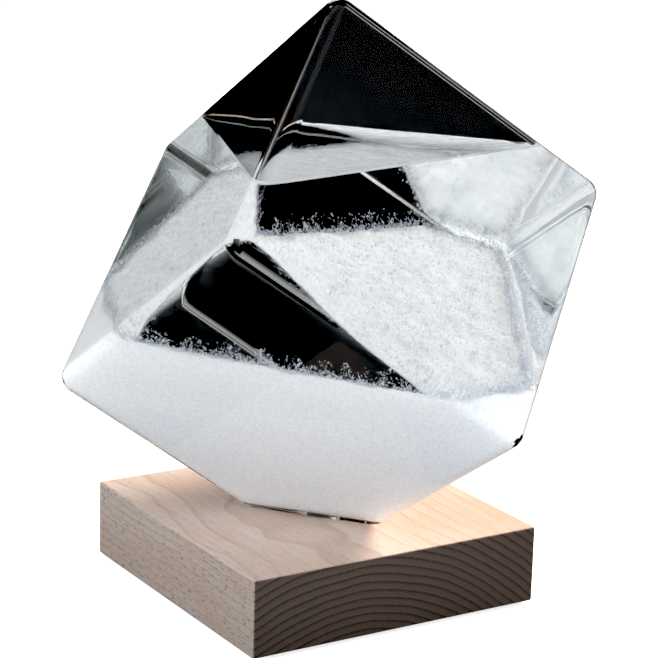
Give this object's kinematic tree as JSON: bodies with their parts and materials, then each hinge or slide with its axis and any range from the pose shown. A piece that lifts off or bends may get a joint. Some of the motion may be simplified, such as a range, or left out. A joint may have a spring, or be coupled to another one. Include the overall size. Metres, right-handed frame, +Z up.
{
  "type": "storm glass",
  "caption": "Storm glass: a clear glass cube of camphor solution and settled crystals, standing on one cut corner in a square wooden block.",
  "frame": {"origin": "where the vessel's upright axis meets the table, at the height of the feet's undersides", "axes": "+Z up along the vessel's body diagonal, X and Y along the wooden block's sides, -Y towards the block's end grain side"},
  "size_m": [0.1242, 0.131, 0.1471],
  "materials": {
    "beech": "matte",
    "clear_silicone": "satin",
    "white_silicone": "satin",
    "borosilicate_glass": "polished",
    "camphor_solution": "polished",
    "camphor_crystals": "matte"
  },
  "bodies": {
    "base": {"wood_base": "beech", "foot_1": "clear_silicone", "foot_2": "clear_silicone", "foot_3": "clear_silicone", "foot_4": "clear_silicone"},
    "seat": {"seat_ring": "clear_silicone"},
    "vessel": {"glass_vessel": "borosilicate_glass", "stopper": "white_silicone", "storm_liquid": "camphor_solution", "crystal_bed": "camphor_crystals", "crystal_fronds": "camphor_crystals"}
  },
  "joints": [
    {"name": "vessel_turn", "type": "hinge", "parent": "base", "child": "seat", "pos_m": [0, 0, 0.0182], "axis": [0, 0, 1], "continuous": true},
    {"name": "vessel_lift", "type": "slide", "parent": "seat", "child": "vessel", "axis": [0, 0, 1], "range_m": [0, 0.04]}
  ]
}
